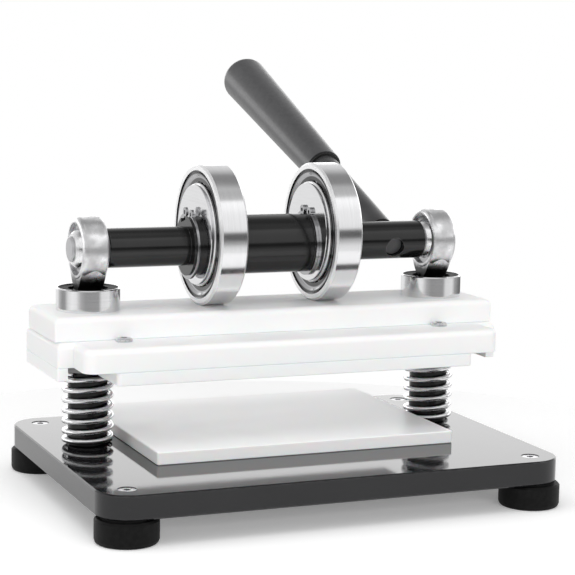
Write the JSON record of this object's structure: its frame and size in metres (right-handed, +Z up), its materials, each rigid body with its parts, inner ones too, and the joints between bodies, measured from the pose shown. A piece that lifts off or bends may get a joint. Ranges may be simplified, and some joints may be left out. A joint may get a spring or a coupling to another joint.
{
  "type": "manual leather die press",
  "caption": "Hand die press: a lever turns an eccentric shaft whose rolling bearings push a sprung plate stack down guide columns onto a cutting board on a footed base.",
  "frame": {"origin": "on the bench plane, under the middle of the base plate", "axes": "+Z up, +X along the shaft towards the lever's side, +Y to the back, where the lever leans at rest"},
  "size_m": [0.302, 0.4121, 0.2691],
  "materials": {
    "base_paint": "gloss black enamel",
    "foot_rubber": "satin",
    "seal_rubber": "matte",
    "polished_steel": "ground and polished",
    "column_steel": "hard chromed, dark",
    "seat_plastic": "moulded nylon",
    "bearing_steel": "fine ground",
    "shield_steel": "stamped",
    "rod_end_steel": "zinc plated",
    "spring_steel": "bright drawn wire",
    "black_steel": "blackened, semi-gloss",
    "lever_steel": "dark grey, semi-gloss",
    "grip_rubber": "satin",
    "collar_plastic": "moulded",
    "white_plate": "machined polyethylene",
    "white_board": "smooth polyethylene",
    "screw_steel": "zinc plated",
    "cage_steel": "pressed strip",
    "retainer_plastic": "moulded nylon"
  },
  "bodies": {
    "root": {"base_plate": "base_paint", "foot_front_left": "foot_rubber", "foot_front_right": "foot_rubber", "foot_back_left": "foot_rubber", "foot_back_right": "foot_rubber", "foot_screws": "screw_steel", "foot_nuts": "screw_steel", "column_bolts": "screw_steel", "column_left": "column_steel", "column_right": "column_steel", "return_spring_left": "spring_steel", "return_spring_right": "spring_steel", "rod_end_left": "rod_end_steel", "rod_end_right": "rod_end_steel", "rod_end_race_left": "shield_steel", "rod_end_race_right": "shield_steel"},
    "press": {"top_plate": "white_plate", "middle_plate": "white_plate", "pressing_pad": "white_plate", "ledge_screws": "screw_steel", "stack_screws": "screw_steel", "spring_seats": "seat_plastic", "linear_bearing_shell_left": "polished_steel", "linear_bearing_shell_right": "polished_steel", "linear_bearing_seals_left": "seal_rubber", "linear_bearing_seals_right": "seal_rubber", "linear_bearing_balls_left": "bearing_steel", "linear_bearing_balls_right": "bearing_steel", "linear_bearing_retainer_left": "retainer_plastic", "linear_bearing_retainer_right": "retainer_plastic"},
    "shaft": {"eccentric_shaft": "black_steel", "disc_keys": "screw_steel", "disc_retaining_rings": "shield_steel", "lever_rod": "lever_steel", "lever_grip": "grip_rubber", "grip_collar": "collar_plastic", "eccentric_disc_left": "polished_steel", "eccentric_disc_right": "polished_steel", "bearing_inner_ring_left": "bearing_steel", "bearing_inner_ring_right": "bearing_steel", "rod_end_ball_left": "bearing_steel", "rod_end_ball_right": "bearing_steel"},
    "board": {"cutting_board": "white_board"},
    "outer_ring_left": {"bearing_outer_ring_left": "bearing_steel", "bearing_shields_left": "shield_steel"},
    "cage_left": {"bearing_cage_left": "cage_steel", "bearing_balls_left": "bearing_steel"},
    "outer_ring_right": {"bearing_outer_ring_right": "bearing_steel", "bearing_shields_right": "shield_steel"},
    "cage_right": {"bearing_cage_right": "cage_steel", "bearing_balls_right": "bearing_steel"}
  },
  "joints": [
    {"name": "lever_turn", "type": "hinge", "parent": "root", "child": "shaft", "pos_m": [0, 0.025, 0.155], "axis": [1, 0, 0], "range_deg": [0, 150]},
    {"name": "press_down", "type": "slide", "parent": "root", "child": "press", "axis": [0, 0, -1], "range_m": [0, 0.0134], "deforming": ["return_spring_left", "return_spring_right"]},
    {"name": "board_slide", "type": "slide", "parent": "root", "child": "board", "axis": [0, -1, 0], "range_m": [0, 0.22]},
    {"name": "outer_ring_left_spin", "type": "hinge", "parent": "shaft", "child": "outer_ring_left", "pos_m": [-0.039, 0.025, 0.162], "axis": [1, 0, 0], "continuous": true},
    {"name": "cage_left_spin", "type": "hinge", "parent": "shaft", "child": "cage_left", "pos_m": [-0.039, 0.025, 0.162], "axis": [1, 0, 0], "continuous": true},
    {"name": "outer_ring_right_spin", "type": "hinge", "parent": "shaft", "child": "outer_ring_right", "pos_m": [0.039, 0.025, 0.162], "axis": [1, 0, 0], "continuous": true},
    {"name": "cage_right_spin", "type": "hinge", "parent": "shaft", "child": "cage_right", "pos_m": [0.039, 0.025, 0.162], "axis": [1, 0, 0], "continuous": true}
  ],
  "couplings": [
    {"joint": "press_down", "follows": "lever_turn", "m_per_rad": 0.00508},
    {"joint": "cage_left_spin", "follows": "outer_ring_left_spin", "ratio": 0.5759},
    {"joint": "cage_right_spin", "follows": "outer_ring_right_spin", "ratio": 0.5759}
  ]
}
